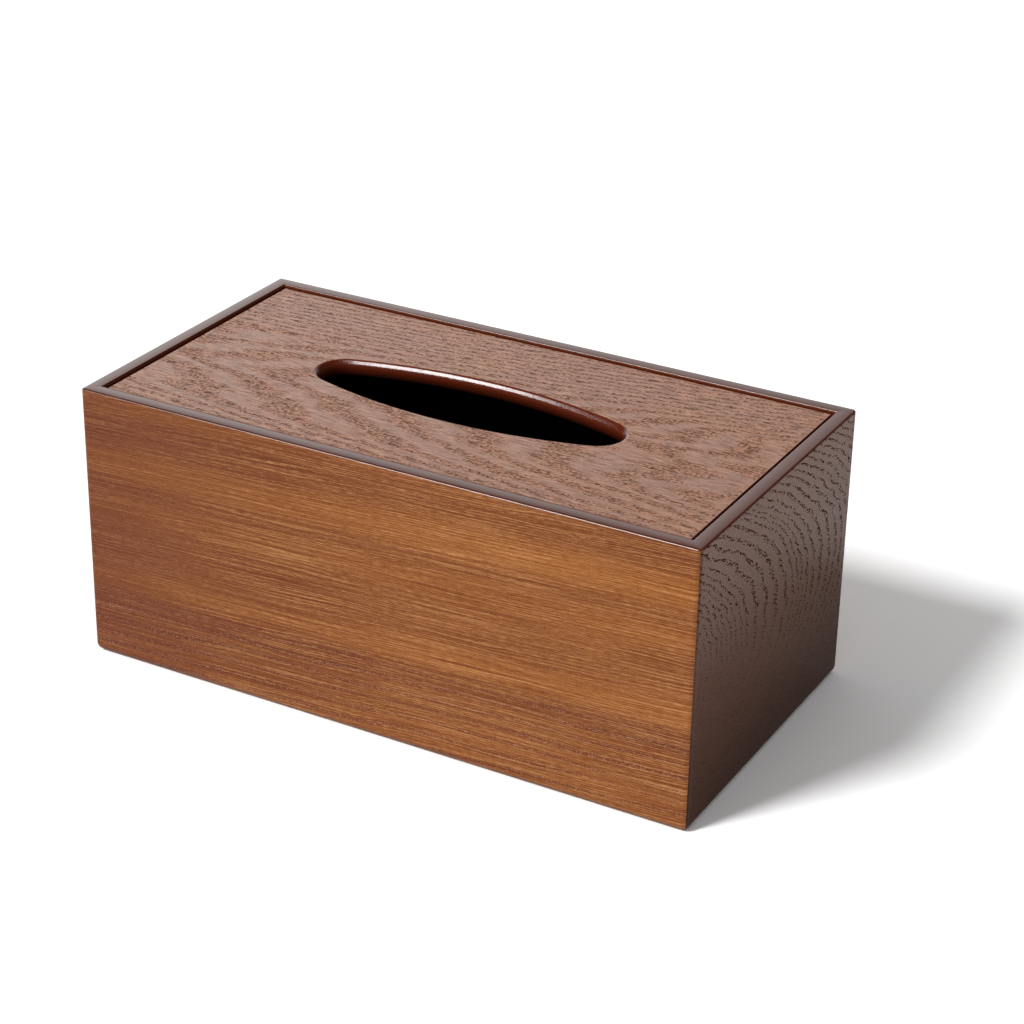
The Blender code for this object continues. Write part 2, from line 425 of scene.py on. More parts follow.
def along_slot(edge, height, reach=0):
    """Whether an edge runs round the slot at this height, no further out than the reach."""
    return all(
        near_slot(corner, reach + SAME_PLACE) and abs(corner.co.z - height) < SAME_PLACE
        for corner in edge.verts
    )


def on_outline(edge):
    """Whether two faces of the lid's outside meet at this edge, at more than a radian."""
    spot = middle(edge)
    at_end = abs(abs(spot.x) - lid_high.x) < SAME_PLACE
    at_front = abs(spot.y - lid_low.y) < SAME_PLACE
    return (at_end or at_front) and edge.calc_face_angle(0) > 1


# %% Lip, edges and the mirrored half
LIP_WIDTH = 0.0017
LIP_DROP = 0.0004
LIP_TOP_RADIUS = 0.0007
LIP_FOOT_RADIUS = 0.0010
LIP_STEPS = 6
UNDER_RADIUS = 0.0006
UNDER_STEPS = 3
ARRIS = 0.0003
ARRIS_STEPS = 2

edit(lid)
pick("FACE", lambda face: all(abs(corner.co.y) < SAME_PLACE for corner in face.verts))
bpy.ops.mesh.delete(type="ONLY_FACE")
bevel_lid(lambda edge: along_slot(edge, lid_high.z), LIP_WIDTH, 1)
foot = lid_high.z - LIP_WIDTH
pick("VERT", lambda end: near_slot(end, SAME_PLACE) and abs(end.co.z - foot) < SAME_PLACE)
bpy.ops.transform.translate(value=(0, 0, -LIP_DROP))
bevel_lid(lambda edge: along_slot(edge, foot - LIP_DROP), LIP_FOOT_RADIUS, LIP_STEPS)
bevel_lid(lambda edge: along_slot(edge, lid_high.z, LIP_WIDTH), LIP_TOP_RADIUS, LIP_STEPS)
bevel_lid(lambda edge: along_slot(edge, lid_low.z), UNDER_RADIUS, UNDER_STEPS)
bevel_lid(on_outline, ARRIS, ARRIS_STEPS)
stop_editing()
apply_modifier(lid, "MIRROR", use_axis=(False, True, False), merge_threshold=SAME_PLACE)
edit(lid)
turn_outwards()
shape = bmesh.from_edit_mesh(lid.data)
open_edges = sum(1 for edge in shape.edges if not edge.is_manifold)
stop_editing()
print("lid faces:", len(lid.data.polygons), "open edges:", open_edges)

# %% [markdown]
# ## Helpers for finishes
#
# A finish is a tree of nodes. It could be painted on as an image, but here it is worked out
# from the place on the piece, in millimetres, so a length in it is a length on the wood, and
# nothing needs unwrapping. Short helpers add a node, a sum, a ramp, a band and a mixed colour.

# %% Helpers for sums and colours
MM_PER_METRE = 1000
MIX_AMOUNT, MIX_FIRST, MIX_SECOND = 0, 6, 7
MIXED_COLOUR = 2


def new_finish(name):
    """A lacquered wood without colour yet: its node tree and its shader."""
    material = bpy.data.materials.new(name)
    material.use_nodes = True
    tree = material.node_tree
    return material, tree, tree.nodes["Principled BSDF"]


def add_node(tree, kind, *inputs, **settings):
    """Adds a node and gives its inputs in order, as values or as other nodes' outputs."""
    made = tree.nodes.new("ShaderNode" + kind)
    for setting, value in settings.items():
        setattr(made, setting, value)
    for socket, value in zip(made.inputs, inputs):
        if isinstance(value, bpy.types.NodeSocket):
            tree.links.new(value, socket)
        elif value is not None:
            socket.default_value = value
    return made


def feed(tree, shader, socket, value):
    """Links a node's output to one of the shader's sockets."""
    tree.links.new(value, shader.inputs[socket])


def calc(tree, operation, *values):
    return add_node(tree, "Math", *values, operation=operation).outputs[0]


def times(tree, first, second):
    return calc(tree, "MULTIPLY", first, second)


def times_plus(tree, first, second, third):
    """The first times the second, plus the third."""
    return calc(tree, "MULTIPLY_ADD", first, second, third)


def minus(tree, first, second):
    return calc(tree, "SUBTRACT", first, second)


def ramp(tree, value, low, high, to_low=0.0, to_high=1.0, smooth=True):
    """Maps a range of values to another, and stops at its ends."""
    style = "SMOOTHSTEP" if smooth else "LINEAR"
    made = add_node(
        tree, "MapRange", value, low, high, to_low, to_high, interpolation_type=style
    )
    return made.outputs[0]


def band(tree, value, rise, fall):
    """1 between a rise and a fall, each given as where it is 0 and where it is 1."""
    return times(tree, ramp(tree, value, *rise), ramp(tree, value, *fall))


def mix_colours(tree, amount, first, second):
    made = tree.nodes.new("ShaderNodeMix")
    made.data_type = "RGBA"
    tree.links.new(amount, made.inputs[MIX_AMOUNT])
    for index, colour in ((MIX_FIRST, first), (MIX_SECOND, second)):
        if isinstance(colour, bpy.types.NodeSocket):
            tree.links.new(colour, made.inputs[index])
        else:
            made.inputs[index].default_value = (*colour, 1)
    return made.outputs[MIXED_COLOUR]


def place_in_mm(tree):
    """The place on the piece in millimetres, as three separate numbers."""
    place = add_node(tree, "TexCoord").outputs["Object"]
    scaled = add_node(tree, "VectorMath", place, operation="SCALE")
    scaled.inputs["Scale"].default_value = MM_PER_METRE
    parts = add_node(tree, "SeparateXYZ", scaled.outputs[0])
    return parts.outputs[0], parts.outputs[1], parts.outputs[2]


# %% [markdown]
# ## Helpers for grain
#
# Grain is noise that is drawn out along the board, so the noise helper takes a length and a
# width. Its values lie mostly between 0.3 and 0.7, and another helper spreads them out. A
# growth ring doesn't follow a formula, so its run is drawn as a smooth curve through
# a row of heights. The pores are small cells, each with a size of its own.

# %% Helpers for noise, rings and pores
NOISE_LOW, NOISE_HIGH = 0.3, 0.7
PORE_SMALLEST = 0.4
PORE_SPREAD = 0.65
PORE_EDGE = 0.10


def noise(tree, along, across, length, width, detail=2.0, rough=0.5, offset=0.0):
    """Cloudy noise from 0 to 1, with patches of about this length and width in mm."""
    first = times_plus(tree, along, 1 / length, offset)
    spot = add_node(tree, "CombineXYZ", first, times(tree, across, 1 / width))
    made = add_node(tree, "TexNoise", spot.outputs[0], noise_dimensions="2D")
    made.inputs["Scale"].default_value = 1
    made.inputs["Detail"].default_value = detail
    made.inputs["Roughness"].default_value = rough
    return made.outputs[0]


def spread_out(tree, value, to_low=0.0, to_high=1.0, smooth=True):
    """Spreads the middle range of a noise over a whole range."""
    return ramp(tree, value, NOISE_LOW, NOISE_HIGH, to_low, to_high, smooth)


def drawn_curve(tree, value, low, high, heights):
    """A smooth curve through these heights, which stand at even steps from low to high."""
    bottom, top = min(heights), max(heights)
    made = tree.nodes.new("ShaderNodeFloatCurve")
    made.mapping.use_clip = False
    points = made.mapping.curves[0].points
    last = len(heights) - 1
    spots = [
        (step / last, (height - bottom) / (top - bottom)) for step, height in enumerate(heights)
    ]
    points[0].location, points[1].location = spots[0], spots[-1]
    for spot in spots[1:-1]:
        points.new(*spot)
    made.mapping.update()
    tree.links.new(ramp(tree, value, low, high, smooth=False), made.inputs["Value"])
    return times_plus(tree, made.outputs[0], top - bottom, bottom)


def pores(tree, along, across, length, width, amount):
    """Short open pores along the grain: 1 inside a pore. Amount sets how large they get."""
    spot = add_node(
        tree, "CombineXYZ", times(tree, along, 1 / length), times(tree, across, 1 / width)
    )
    cells = add_node(
        tree, "TexVoronoi", spot.outputs[0], voronoi_dimensions="2D", feature="F1"
    )
    cells.inputs["Scale"].default_value = 1
    cells.inputs["Randomness"].default_value = 1
    chance = add_node(tree, "SeparateColor", cells.outputs["Color"]).outputs[0]
    size = times(tree, amount, times_plus(tree, chance, PORE_SPREAD, PORE_SMALLEST))
    return ramp(tree, minus(tree, size, cells.outputs["Distance"]), 0.0, PORE_EDGE)


def bump(tree, shader, height, depth_mm):
    """Raises and sinks the surface by up to this depth."""
    made = tree.nodes.new("ShaderNodeBump")
    made.inputs["Strength"].default_value = 1
    made.inputs["Distance"].default_value = depth_mm / MM_PER_METRE
    tree.links.new(height, made.inputs["Height"])
    feed(tree, shader, "Normal", made.outputs[0])


# %% [markdown]
# ## Lacquer of the rim
#
# The rims of the boards are solid wood that is stained dark red brown and filled with
# lacquer, so no pores show. A plain colour would look like plastic, so a soft cloud varies
# the stain and the polish, and a clear coat lies on top.

# %% Edge lacquer
EDGE_DARK = (0.070, 0.014, 0.005)
EDGE_LIGHT = (0.110, 0.024, 0.009)


def make_edge_lacquer():
    material, tree, shader = new_finish("edge_lacquer")
    x, y, z = place_in_mm(tree)
    along, across = calc(tree, "ADD", x, z), calc(tree, "ADD", y, z)
    cloud = noise(tree, along, across, 9, 9, detail=3)
    feed(tree, shader, "Base Color", mix_colours(tree, cloud, EDGE_DARK, EDGE_LIGHT))
    feed(tree, shader, "Roughness", spread_out(tree, cloud, 0.12, 0.17))
    shader.inputs["Coat Weight"].default_value = 0.7
    shader.inputs["Coat Roughness"].default_value = 0.07
    return material


edge_lacquer = make_edge_lacquer()
print("edge lacquer, nodes:", len(edge_lacquer.node_tree.nodes))

# %% [markdown]
# ## Lacquer of the walls
#
# The wall of the slot, and the inner faces above the ledges, have the same stain, but they
# were brushed and not polished. The brush leaves fine strokes down the wall, which break up
# the highlight. They are far finer than the faces of the mesh, so they are a bump in the
# finish. Its colour has painted light at the lip and above the lid, and painted shade
# further down, out of the light, where it fades to almost black.

# %% Wall lacquer
WALL_PAINTED_SHADE = (0.008, 0.002, 0.001)
WALL_BROWN = (0.100, 0.015, 0.005)
LIP_PAINTED_LIGHT = (0.230, 0.055, 0.016)
LIP_BLEND = 0.4
WALL_FADE = (6.2, 2.4)


def make_wall_lacquer():
    """Painted light at the lip, shade lower down; brushed by hand, with strokes down the wall.
    """
    material, tree, shader = new_finish("wall_lacquer")
    x, y, z = place_in_mm(tree)
    top = MM_PER_METRE * lid_high.z
    strokes = noise(tree, times_plus(tree, y, 0.7, x), z, 0.8, 2.2, detail=3, rough=0.6)
    # Painted light: the lip and the faces above the lid get a lighter red than the wall below.
    lip = ramp(tree, z, top - LIP_BLEND, top + LIP_BLEND)
    upper = mix_colours(tree, lip, WALL_BROWN, LIP_PAINTED_LIGHT)
    # Painted shade: below the lip the colour fades to almost black, deeper in the slot.
    lit = ramp(tree, z, top - WALL_FADE[0], top - WALL_FADE[1])
    feed(tree, shader, "Base Color", mix_colours(tree, lit, WALL_PAINTED_SHADE, upper))
    feed(tree, shader, "Roughness", spread_out(tree, strokes, 0.16, 0.24))
    shader.inputs["Coat Weight"].default_value = 0.7
    shader.inputs["Coat Roughness"].default_value = 0.10
    bump(tree, shader, strokes, 0.20)
    return material


wall_lacquer = make_wall_lacquer()
print("wall lacquer, nodes:", len(wall_lacquer.node_tree.nodes))

# %% [markdown]
# ## The almost black inside
#
# The inside is never seen in use. It is almost black and not lacquered, so it only
# needs a dull surface with a faint cloud along the boards.

# %% Inner near black
INNER_DARK = (0.006, 0.003, 0.002)
INNER_LIGHT = (0.014, 0.007, 0.004)


def make_inner_near_black():
    # Almost black and dull all over, with a faint cloud along the boards.
    material, tree, shader = new_finish("inner_near_black")
    x, y, z = place_in_mm(tree)
    cloud = noise(tree, calc(tree, "ADD", x, y), z, 30, 3, detail=4)
    feed(tree, shader, "Base Color", mix_colours(tree, cloud, INNER_DARK, INNER_LIGHT))
    feed(tree, shader, "Roughness", spread_out(tree, cloud, 0.7, 0.85))
    return material


inner_near_black = make_inner_near_black()
print("inner stain, nodes:", len(inner_near_black.node_tree.nodes))

# %% [markdown]
# ## Lid veneer
#
# The lid is open-pored veneer, cut flat from the log, so the growth rings show as nested
# pointed arches along the middle of the front half and as straight lines along the back.
# A wave texture would be too regular, so three drawn curves say where the rings run: their
# place on the middle line, how they lean away from it, and how they bend.
#
# Within each ring the early wood is soft and full of open pores, and the late wood is dense
# and smooth. The stain sinks into the pores and darkens them, and the lacquer only covers
# what lies between, so the coat is left out where there is a pore. That is why the pores
# stay dark and dull when the wood round them shines.

# %% Lid veneer
RING_REACH = 64
RINGS_MIDDLE = (
    2.0, 0.4, -1.0, -1.5, -2.2, -2.4, -2.9, -2.6, -2.7,
    -1.6, -0.7, 0.4, 2.3, 4.6, 6.9, 9.0, 11.3,
)
RINGS_LEAN = (-3.2, -2.3, -3.3, -2.4, -3.0, -3.1, -4.0, -4.0, -3.6)
RINGS_BEND = (0.25, 0.05, -0.2, 0.05, 0.1, -0.8, -1.5, -1.4, -0.9)
LID_EARLY = ((0.06, 0.40), (0.94, 0.62))
LATE_WOOD = ((0.258, 0.118, 0.073), (0.442, 0.220, 0.144))
EARLY_WOOD = ((0.296, 0.114, 0.052), (0.520, 0.232, 0.121))
LID_PORE = (0.060, 0.017, 0.009)


def lid_rings(tree, x, y, sway):
    """The number of the growth ring at each place, which grows by 1 from ring to ring."""
    far = times(tree, x, 0.01)
    place, lean, bend = (
        drawn_curve(tree, y, -RING_REACH, RING_REACH, heights)
        for heights in (RINGS_MIDDLE, RINGS_LEAN, RINGS_BEND)
    )
    lean = times_plus(tree, far, bend, lean)
    return calc(tree, "ADD", times_plus(tree, far, lean, place), times(tree, sway, 0.6))


def make_lid_veneer():
    material, tree, shader = new_finish("lid_veneer")
    x, y, z = place_in_mm(tree)
    sway = minus(tree, noise(tree, x, y, 16, 5, detail=2), 0.5)
    rings = lid_rings(tree, x, y, sway)
    step = calc(tree, "FRACT", calc(tree, "ADD", rings, 100.5))
    early = band(tree, step, *LID_EARLY)
    uneven = times_plus(tree, sway, 1.6, y)
    holes = pores(tree, x, uneven, 2.1, 0.6, times_plus(tree, early, 0.27, 0.16))
    thread = ramp(tree, noise(tree, x, uneven, 6, 0.8, detail=2, offset=3), 0.50, 0.68)
    lines = times(tree, thread, times_plus(tree, early, 0.44, 0.29))
    holes = calc(tree, "MAXIMUM", times(tree, holes, 0.9), lines)
    fibre = spread_out(tree, noise(tree, x, uneven, 8, 0.7, detail=2, offset=6))
    cloud = spread_out(tree, noise(tree, x, y, 60, 16, detail=3))
    late = mix_colours(tree, fibre, *LATE_WOOD)
    soft = mix_colours(tree, fibre, *EARLY_WOOD)
    softness = times_plus(tree, early, 0.6, times(tree, cloud, 0.4))
    wood = mix_colours(tree, softness, late, soft)
    feed(tree, shader, "Base Color", mix_colours(tree, holes, wood, LID_PORE))
    feed(tree, shader, "Roughness", ramp(tree, holes, 0, 1, 0.45, 0.80))
    shader.inputs["Specular IOR Level"].default_value = 0.15
    dull = calc(tree, "MAXIMUM", holes, times(tree, early, 0.30))
    feed(tree, shader, "Coat Weight", minus(tree, 1.0, dull))
    shader.inputs["Coat Roughness"].default_value = 0.22
    bump(tree, shader, minus(tree, times(tree, fibre, 0.15), holes), 0.10)
    return material


lid_veneer = make_lid_veneer()
print("lid veneer, nodes:", len(lid_veneer.node_tree.nodes))

# %% [markdown]
# ## Side veneer
#
# The front and the back are of a finer, straight-grained veneer, which the stain turned
# golden orange over red brown. Its look comes from three scales: broad bands that run the
# whole length, faint growth lines low down with a row of filled pores in each, and thin
# threads of light and dark wood. Each has its own layer, so each can be tuned alone.

# %% Side veneer
SIDE_SLOPE = 0.045
SIDE_REACH = 130
SIDE_HEIGHT = 112
SIDE_GOLD = (
    0.50, 0.55, 0.45, 0.40, 0.28, 0.80, 0.50, 0.45,
    0.50, 0.68, 0.45, 0.88, 0.62, 0.32, 0.58,
)
SIDE_RINGS = (
    0.0, 1.5, 3.1, 4.6, 6.3, 9.3, 12.0, 14.5,
    17.0, 20.0, 23.5, 27.0, 30.5, 33.5, 36.5,
)
SIDE_GROWTH = ((0.0, 0.12), (0.60, 0.12))
SIDE_THREADS = ((90, 0.40, 0.52, 0), (26, 0.32, 0.28, 7), (3.5, 0.30, 0.32, 9))
RED_BROWN = (0.150, 0.036, 0.016)
GOLDEN = (0.412, 0.147, 0.028)
LIGHT_THREAD = (0.600, 0.287, 0.110)
DARK_THREAD = (0.110, 0.022, 0.006)
PORE_FILLER = (0.560, 0.310, 0.200)


def side_growth(tree, across, sway):
    """Thin growth lines, which fade out towards the top."""
    rings = drawn_curve(tree, across, 0, SIDE_HEIGHT, SIDE_RINGS)
    step = calc(tree, "FRACT", times_plus(tree, sway, 0.5, rings))
    lines = band(tree, step, *SIDE_GROWTH)
    return times(tree, lines, ramp(tree, across, 42, 28, 0.25, 1.0))


def side_tone(tree, x, across, growth):
    """How golden the broad bands are. They grow lighter and livelier to the right."""
    gold = minus(tree, drawn_curve(tree, across, 0, SIDE_HEIGHT, SIDE_GOLD), 0.5)
    gold = times(tree, gold, ramp(tree, x, -SIDE_REACH, SIDE_REACH, 0.35, 0.90, smooth=False))
    base = ramp(tree, x, -SIDE_REACH, 30, 0.10, 0.43, smooth=False)
    tone = times_plus(tree, growth, -0.24, calc(tree, "ADD", gold, base))
    return ramp(tree, tone, 0, 1, smooth=False)


def side_threads(tree, x, across):
    """Three sets of threads, each with a length, a width, a share and a start."""
    threads = 0
    for length, width, share, start in SIDE_THREADS:
        streak = noise(tree, x, across, length, width, detail=2, rough=0.6, offset=start)
        streak = spread_out(tree, streak, -1, 1, smooth=False)
        threads = times_plus(tree, streak, share, threads)
    return threads


# %% Side veneer put together
def make_side_veneer():
    material, tree, shader = new_finish("side_veneer")
    x, y, z = place_in_mm(tree)
    sway = minus(tree, noise(tree, x, z, 80, 9, detail=2), 0.5)
    across = times_plus(tree, sway, 2.6, times_plus(tree, x, -SIDE_SLOPE, z))
    growth = side_growth(tree, across, sway)
    wood = mix_colours(tree, side_tone(tree, x, across, growth), RED_BROWN, GOLDEN)
    lively = ramp(tree, x, -110, -20, 0.40, 0.80)
    threads = side_threads(tree, x, across)
    light = times(tree, ramp(tree, threads, 0, 0.8, smooth=False), lively)
    dark = times(tree, ramp(tree, threads, 0, -0.8, smooth=False), lively)
    wood = mix_colours(tree, light, wood, LIGHT_THREAD)
    wood = mix_colours(tree, dark, wood, DARK_THREAD)
    along = calc(tree, "ADD", x, 70)
    filled = pores(tree, along, across, 1.5, 0.6, times_plus(tree, growth, 0.22, 0.16))
    wood = mix_colours(tree, times(tree, filled, 0.35), wood, PORE_FILLER)
    feed(tree, shader, "Base Color", wood)
    feed(tree, shader, "Roughness", ramp(tree, filled, 0, 1, 0.48, 0.38))
    shader.inputs["Specular IOR Level"].default_value = 0.15
    bump(tree, shader, minus(tree, filled, growth), 0.03)
    return material


side_veneer = make_side_veneer()
print("side veneer, nodes:", len(side_veneer.node_tree.nodes))

# %% [markdown]
# ## End veneer
#
# The two ends are the same open-pored wood as the lid, stained darker, and cut so that the
# rings bend round in nested arcs. A parabola gives the bend and a drawn curve the uneven
# spacing, which is easier to steer than circles round a far centre. The pores are largest
# above the bend and close up below it. Towards the foot the wood has painted shade, and
# the coat is thinner, which dims the sheen there too.

# %% End veneer
END_BEND_HEIGHT = 60
END_BEND = 50
END_SLANT = 0.45
END_LOW = -64
END_HIGH = 136
END_ROWS = (
    0, 2.5, 5, 7.5, 9.6, 10.8, 12, 13.1, 14.4, 16.7, 18.6,
    20, 21.5, 23.1, 24.7, 26.3, 27.9, 29.5, 31.1, 32.7, 34.3,
)
END_EARLY = ((0.16, 0.50), (0.72, 0.64))
END_CREST = ((0.64, 0.72), (0.84, 0.74))
END_WOOD = ((0.064, 0.022, 0.010), (0.165, 0.061, 0.029))
CREST_WOOD = (0.180, 0.085, 0.050)
END_PORE = (0.040, 0.012, 0.006)


def end_rings(tree, y, z, above):
    """How far through its growth ring each place is, from 0 to 1."""
    sway = minus(tree, noise(tree, y, z, 30, 12, detail=2), 0.5)
    kinks = minus(tree, noise(tree, y, z, 60, 6, detail=2, offset=4), 0.5)
    bend = times(tree, times(tree, above, above), 1 / END_BEND)
    spread = calc(tree, "ADD", calc(tree, "ADD", bend, y), times(tree, sway, 5.0))
    spread = times_plus(tree, kinks, 5.0, spread)
    rows = drawn_curve(tree, spread, END_LOW, END_HIGH, END_ROWS)
    return calc(tree, "FRACT", calc(tree, "ADD", rows, 100.0))


def make_end_veneer():
    material, tree, shader = new_finish("end_veneer")
    x, y, z = place_in_mm(tree)
    above = minus(tree, z, END_BEND_HEIGHT)
    step = end_rings(tree, y, z, above)
    early = band(tree, step, *END_EARLY)
    crest = band(tree, step, *END_CREST)
    open_part = ramp(tree, times_plus(tree, y, 0.35, above), -25, 8, 0.25, 1.0)
    slanted = times_plus(tree, y, END_SLANT, z)
    amount = times_plus(tree, times(tree, early, open_part), 0.40, 0.22)
    holes = pores(tree, y, slanted, 1.8, 0.8, amount)
    fibre = noise(tree, y, slanted, 9, 0.5, detail=2)
    # Painted shade: the wood grows darker towards the foot, by this ramp on the height.
    height = ramp(tree, z, 10, 100, smooth=False)
    wood = mix_colours(tree, times_plus(tree, minus(tree, fibre, 0.5), 0.4, height), *END_WOOD)
    wood = mix_colours(tree, times(tree, times(tree, crest, open_part), 0.25), wood, CREST_WOOD)
    feed(tree, shader, "Base Color", mix_colours(tree, times(tree, holes, 0.8), wood, END_PORE))
    feed(tree, shader, "Roughness", ramp(tree, holes, 0, 1, 0.45, 0.80))
    shader.inputs["Specular IOR Level"].default_value = 0.02
    lacquer = ramp(tree, z, 12, 75, 0.20, 0.35)
    feed(tree, shader, "Coat Weight", times(tree, minus(tree, 1.0, holes), lacquer))
    shader.inputs["Coat Roughness"].default_value = 0.10
    bump(tree, shader, minus(tree, times(tree, fibre, 0.12), holes), 0.08)
    return material


end_veneer = make_end_veneer()
print("end veneer, nodes:", len(end_veneer.node_tree.nodes))

# %% [markdown]
# ## Base board and ledges
#
# Both are out of sight in normal use, so they are plain wood with a dark stain and a
# straight grain. One function makes both, from a dark and a light colour.

# %% Base board and ledges
BASE_STAIN = ((0.020, 0.009, 0.005), (0.050, 0.022, 0.012))
LEDGE_STAIN = ((0.018, 0.007, 0.004), (0.040, 0.016, 0.009))


def make_stained_wood(name, dark, light):
    material, tree, shader = new_finish(name)
    x, y, z = place_in_mm(tree)
    grain = noise(tree, x, calc(tree, "ADD", y, z), 40, 1.2, detail=4, rough=0.6)
    feed(tree, shader, "Base Color", mix_colours(tree, spread_out(tree, grain), dark, light))
    feed(tree, shader, "Roughness", spread_out(tree, grain, 0.6, 0.75))
    bump(tree, shader, grain, 0.05)
    return material


base_board = make_stained_wood("base_board", *BASE_STAIN)
ledge_wood = make_stained_wood("ledge_wood", *LEDGE_STAIN)
print("stained wood, nodes:", len(base_board.node_tree.nodes))

# %% [markdown]
# ## Dressing the pieces
#
# The veneer covers the outer face of each board and goes over its round edges, up to the
# middle of the top one. From there the edge lacquer runs over the rim, the wall lacquer goes
# down the inner face to the ledges, and the rest of the inside is almost black. The
# faces could be picked by hand, but a test on their place and direction also holds when a
# size changes.

# %% Dress the boards and the lid
VENEER_TOP_TILT = 0.5
VENEER_FOOT_TILT = -0.95
RIM_TILT = 0.3
WALL_LACQUER_DEPTH = 0.004
LID_FACE_TILT = 0.97
LID_UNDER_TILT = -0.7


def dress(piece, finishes):
    """Gives each face the first finish whose test it passes."""
    piece.data.materials.clear()
    for finish, test in finishes:
        piece.data.materials.append(finish)
    counts = [0] * len(finishes)
    for face in piece.data.polygons:
        tests = (test(face) for finish, test in finishes)
        face.material_index = next(index for index, passed in enumerate(tests) if passed)
        counts[face.material_index] += 1
    print(piece.name, "faces per finish:", counts)


for side, board in boards.items():
    outward = SIDES[side]
    veneer = side_veneer if side in ("front", "back") else end_veneer
    outer_reach = abs(outward.dot(half_size))

    def is_veneer(face):
        depth = outer_reach - outward.dot(face.center)
        tilt = face.normal.z
        return depth < FOOT_RADIUS + SAME_PLACE and VENEER_FOOT_TILT < tilt < VENEER_TOP_TILT

    def is_rim(face):
        return face.center.z > shoulder - TOP_RADIUS and face.normal.z > RIM_TILT

    def is_wall(face):
        return face.center.z > ledge_high.z - WALL_LACQUER_DEPTH

    dress(board, (
        (veneer, is_veneer),
        (edge_lacquer, is_rim),
        (wall_lacquer, is_wall),
        (inner_near_black, lambda face: True),
    ))
    smooth_over(board)

dress(lid, (
    (lid_veneer, lambda face: face.normal.z > LID_FACE_TILT),
    (wall_lacquer, lambda face: face.normal.z > LID_UNDER_TILT),
    (inner_near_black, lambda face: True),
))
smooth_over(lid)

for node in ("front_ledge", "back_ledge", "left_ledge", "right_ledge"):
    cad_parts[node].data.materials[0] = ledge_wood
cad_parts["base_panel"].data.materials[0] = base_board

# %% [markdown]
# ## What moves with what
#
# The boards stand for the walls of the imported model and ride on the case. The lid stands
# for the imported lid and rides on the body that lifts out. The base panel and the ledges keep
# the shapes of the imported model.

# %% Ride and replace
for side, board in boards.items():
    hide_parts(side + "_wall")
    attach(board, "case")
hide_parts("lid")
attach(lid, "lid")
print("pieces that ride:", len(boards) + 1)

# %% [markdown]
# ## Floor
#
# A wide pale floor, which the camera and the lacquer see white. More light would bleach the
# wood, so a second, brighter colour does it, for those rays alone. All other rays meet the
# pale one. The floor stays a real surface, so it keeps the shadow of the case.

# %% Floor
FLOOR_SIZE = 12
FLOOR_DROP = 0.0002
PALE_FLOOR = (0.7, 0.7, 0.7, 1)
SEEN_FLOOR = (1.25, 1.25, 1.25, 1)

deselect_all()
bpy.ops.mesh.primitive_plane_add(size=FLOOR_SIZE, location=(0, 0, 0))
floor = bpy.context.object
floor.name = "floor"
edit(floor)
bpy.ops.mesh.select_all(action="SELECT")
bpy.ops.transform.translate(value=(0, 0, cad_low.z - FLOOR_DROP))
stop_editing()
material, tree, shader = new_finish("pale_floor")
rays = add_node(tree, "LightPath")
pale = add_node(tree, "BsdfDiffuse", PALE_FLOOR)
seen = add_node(tree, "BsdfDiffuse", SEEN_FLOOR)
shown = calc(tree, "MAXIMUM", rays.outputs["Is Camera Ray"], rays.outputs["Is Glossy Ray"])
shown = calc(tree, "MAXIMUM", shown, rays.outputs["Is Transmission Ray"])
choice = add_node(tree, "MixShader", shown, pale.outputs[0], seen.outputs[0])
tree.links.new(choice.outputs[0], tree.nodes["Material Output"].inputs["Surface"])
floor.data.materials.append(material)
print("floor, in m:", FLOOR_SIZE)

# %% [markdown]
# ## World
#
# Lacquer shows its surroundings, so the world is painted for glossy rays alone, as in a
# studio: a bright backdrop low down behind the case, darkness overhead and to the right, and
# one long narrow softbox in front and above, with a dim skirt below it. Real lamps and cards
# could do the same, but they would also change the plain light on the wood. The camera sees
# the world white.
#
# Each pair of numbers below says where a fade begins and where it ends, in the direction of
# the ray.

# %% World for the lacquer
AMBIENT = 0.38
GLOSS_LEVEL = 1.05
GLOSS_OVERHEAD = 0.05
GLOSS_RIGHT = 0.55
BACKDROP_DIM = (-0.55, -0.30)
BACKDROP_RIGHT_END = (-0.15, 0.35)
BACKDROP_FRONT_END = (0.15, 0.65)
BACKDROP_TOP_END = (0.38, 0.72)
SOFTBOX_LEVEL = 22
SOFTBOX_TILT = math.radians(54)
SOFTBOX_EDGE = (0.17, 0.06)
SOFTBOX_FRONT = (-0.1, -0.2)
SOFTBOX_LEFT_END = (-0.66, -0.40)
SOFTBOX_RIGHT_END = (0.06, -0.17)
SKIRT_LEVEL = 2.5
SKIRT_EDGE = (-0.50, -0.05)
SKIRT_LEFT_END = (-0.42, -0.25)


def paint_backdrop(tree, to_right, to_back, upwards):
    """Bright low down behind the case, and dark overhead, in front and to the right."""
    right_level = GLOSS_LEVEL * GLOSS_RIGHT
    level = ramp(tree, to_right, *BACKDROP_DIM, GLOSS_LEVEL, right_level, smooth=False)
    level = times(tree, level, ramp(tree, to_right, *BACKDROP_RIGHT_END, 1.0, GLOSS_OVERHEAD))
    level = times(tree, level, ramp(tree, to_back, *BACKDROP_FRONT_END, GLOSS_OVERHEAD, 1.0))
    return times(tree, level, ramp(tree, upwards, *BACKDROP_TOP_END, 1.0, GLOSS_OVERHEAD))


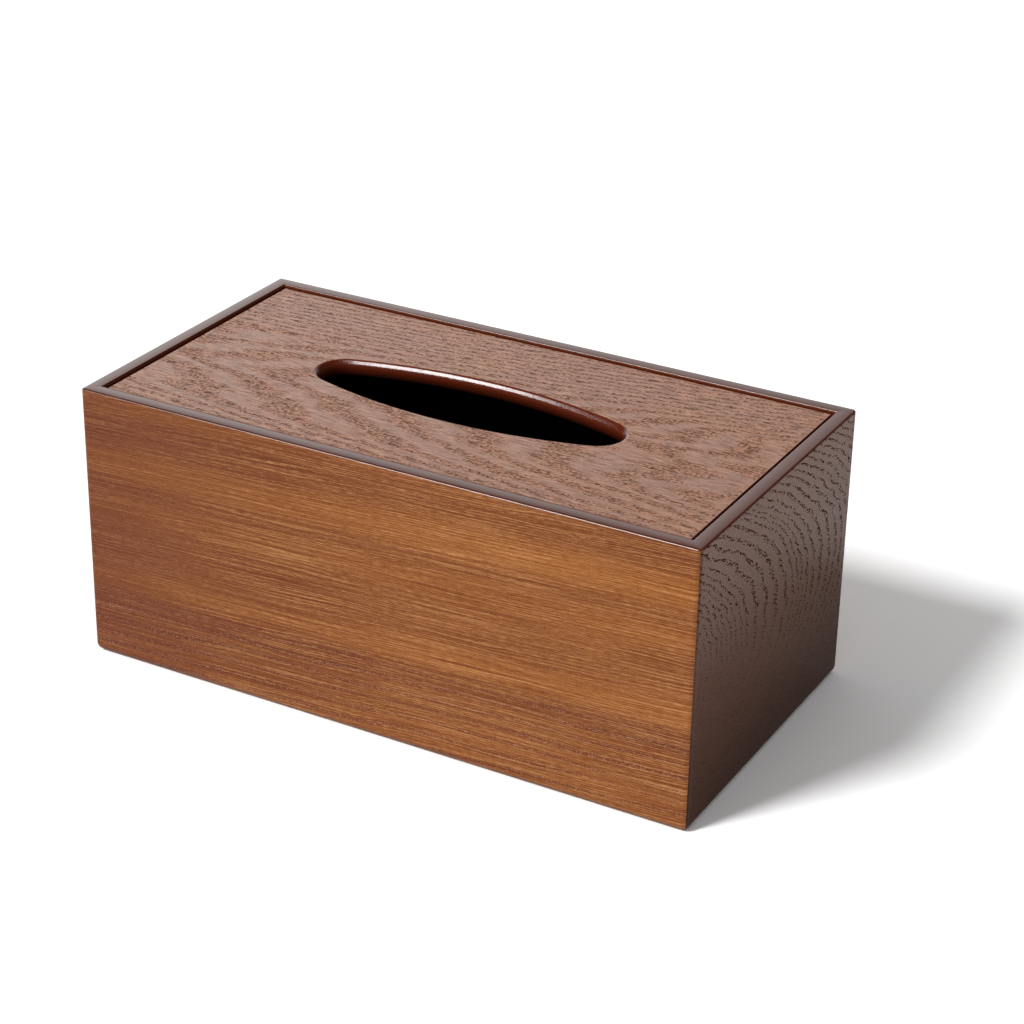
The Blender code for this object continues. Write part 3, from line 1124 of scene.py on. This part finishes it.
def paint_softbox(tree, to_right, to_back, upwards):
    """A long strip in front and above, which runs from left to right."""
    off_middle = times(tree, upwards, math.cos(SOFTBOX_TILT))
    off_middle = times_plus(tree, to_back, math.sin(SOFTBOX_TILT), off_middle)
    skirt = ramp(tree, off_middle, *SKIRT_EDGE, 0, SKIRT_LEVEL)
    skirt = times(tree, skirt, ramp(tree, to_right, *SKIRT_LEFT_END))
    strip = ramp(tree, calc(tree, "ABSOLUTE", off_middle), *SOFTBOX_EDGE, 0, SOFTBOX_LEVEL)
    softbox = calc(tree, "MAXIMUM", strip, skirt)
    softbox = times(tree, softbox, ramp(tree, to_back, *SOFTBOX_FRONT))
    softbox = times(tree, softbox, ramp(tree, to_right, *SOFTBOX_LEFT_END))
    return times(tree, softbox, ramp(tree, to_right, *SOFTBOX_RIGHT_END))


# %% World put together
FIRST_BOUNCE = 2.5

world = bpy.data.worlds.new("studio")
bpy.context.scene.world = world
world.use_nodes = True
tree = world.node_tree
rays = add_node(tree, "LightPath")
ground = tree.nodes["Background"]
ground.inputs["Color"].default_value = (1, 1, 1, 1)
direction = add_node(tree, "SeparateXYZ", add_node(tree, "TexCoord").outputs["Generated"])
backdrop = paint_backdrop(tree, *direction.outputs)
softbox = paint_softbox(tree, *direction.outputs)
# Only the first bounce sees the softbox, as later ones would turn it into bright specks.
first_bounce = calc(tree, "LESS_THAN", rays.outputs["Ray Depth"], FIRST_BOUNCE)
gloss = times_plus(tree, softbox, first_bounce, backdrop)
level = add_node(tree, "Mix", rays.outputs["Is Glossy Ray"], None, AMBIENT, gloss).outputs[0]
for kind in ("Is Camera Ray", "Is Transmission Ray"):
    level = add_node(tree, "Mix", rays.outputs[kind], None, level, 1.0).outputs[0]
tree.links.new(level, ground.inputs["Strength"])
print("world, nodes:", len(tree.nodes))

# %% [markdown]
# ## Key light
#
# One soft lamp from the front left and above gives the front its light and the floor its
# soft shadow. It has no mirror image of its own, because the softbox in the world is its
# picture in the lacquer.

# %% Key light
KEY_DIRECTION = Vector((-0.373, -0.602, 0.706)).normalized()
KEY_ANGLE = math.radians(14)
KEY_STRENGTH = 2.7

key_data = bpy.data.lights.new("key", "SUN")
key_data.angle = KEY_ANGLE
key_data.energy = KEY_STRENGTH
key = bpy.data.objects.new("key", key_data)
key.visible_glossy = False
bpy.context.scene.collection.objects.link(key)
key.rotation_euler = KEY_DIRECTION.to_track_quat("Z", "Y").to_euler()
print("key light, degrees above the floor:", round(math.degrees(math.asin(KEY_DIRECTION.z))))
